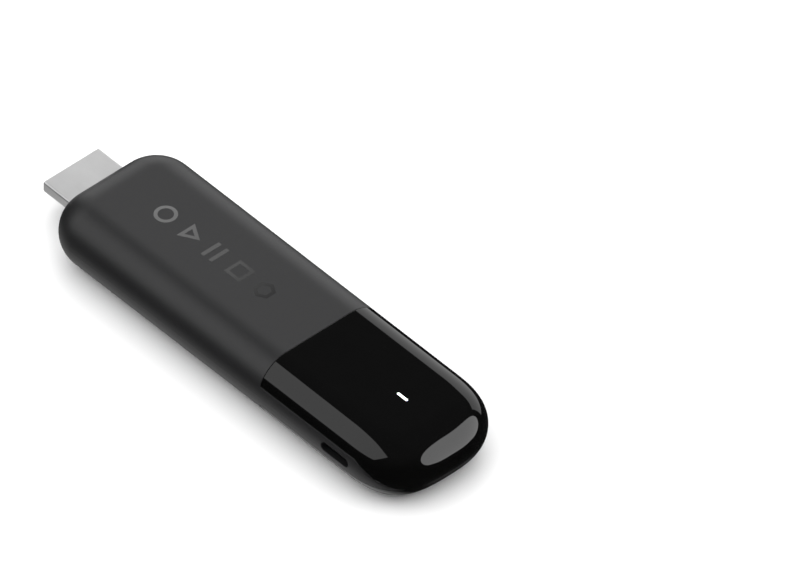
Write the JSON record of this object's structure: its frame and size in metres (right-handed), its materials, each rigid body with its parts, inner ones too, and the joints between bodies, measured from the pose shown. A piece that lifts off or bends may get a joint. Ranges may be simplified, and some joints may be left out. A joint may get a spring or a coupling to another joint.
{
  "type": "streaming media player",
  "caption": "Stick-shaped media player: matte housing with half-round edges, gloss black end covers, a fixed HDMI plug and a side micro-USB power socket.",
  "frame": {"origin": "under the middle of the overall length, housing and plug together, on the plane of the rear face", "axes": "+X from the plug's tip to the free end, +Y across the stick away from the micro-USB socket, +Z from the rear face to the front face"},
  "size_m": [0.107, 0.0302, 0.0142],
  "materials": {
    "matte_housing": "fine matte moulded texture",
    "gloss_cover": "polished piano black",
    "adhesive_film": "thin double-sided film",
    "light_pipe": "frosted, lets light through",
    "led_lens": "clear lens over a small chip",
    "plug_metal": "nickel plated, satin",
    "plug_plastic": "smooth moulded",
    "contact_gold": "gold plated",
    "gasket_foam": "conductive foam",
    "socket_metal": "nickel plated",
    "board": "solder mask",
    "screw_steel": "plain steel",
    "chip_plastic": "moulded package",
    "inductor_ferrite": "pressed ferrite",
    "shield_metal": "tin-plated sheet",
    "capacitor_ceramic": "ceramic chip",
    "thermal_pad": "soft silicone",
    "heat_spreader": "rolled sheet",
    "antenna_metal": "stamped strip"
  },
  "bodies": {
    "root": {"front_housing": "matte_housing", "rear_housing": "matte_housing", "front_gloss_cover": "gloss_cover", "rear_gloss_cover": "gloss_cover", "front_cover_film": "adhesive_film", "rear_cover_film": "adhesive_film", "light_pipe": "light_pipe", "status_led": "led_lens", "plug_shell": "plug_metal", "plug_insulator": "plug_plastic", "plug_contacts": "contact_gold", "plug_gasket": "gasket_foam", "usb_shell": "socket_metal", "usb_tongue": "plug_plastic", "usb_contacts": "contact_gold", "main_board": "board", "board_screws": "screw_steel", "processor": "chip_plastic", "memory_chips": "chip_plastic", "flash_memory": "chip_plastic", "power_controller": "chip_plastic", "power_inductors": "inductor_ferrite", "wireless_module": "shield_metal", "crystals": "shield_metal", "capacitors": "capacitor_ceramic", "front_shield_frame": "shield_metal", "front_shield_lid": "shield_metal", "rear_shield_can": "shield_metal", "processor_thermal_pad": "thermal_pad", "front_thermal_pad": "thermal_pad", "rear_thermal_pad": "thermal_pad", "front_heat_spreader": "heat_spreader", "rear_heat_spreader": "heat_spreader", "left_antenna": "antenna_metal", "right_antenna": "antenna_metal"}
  },
  "joints": []
}
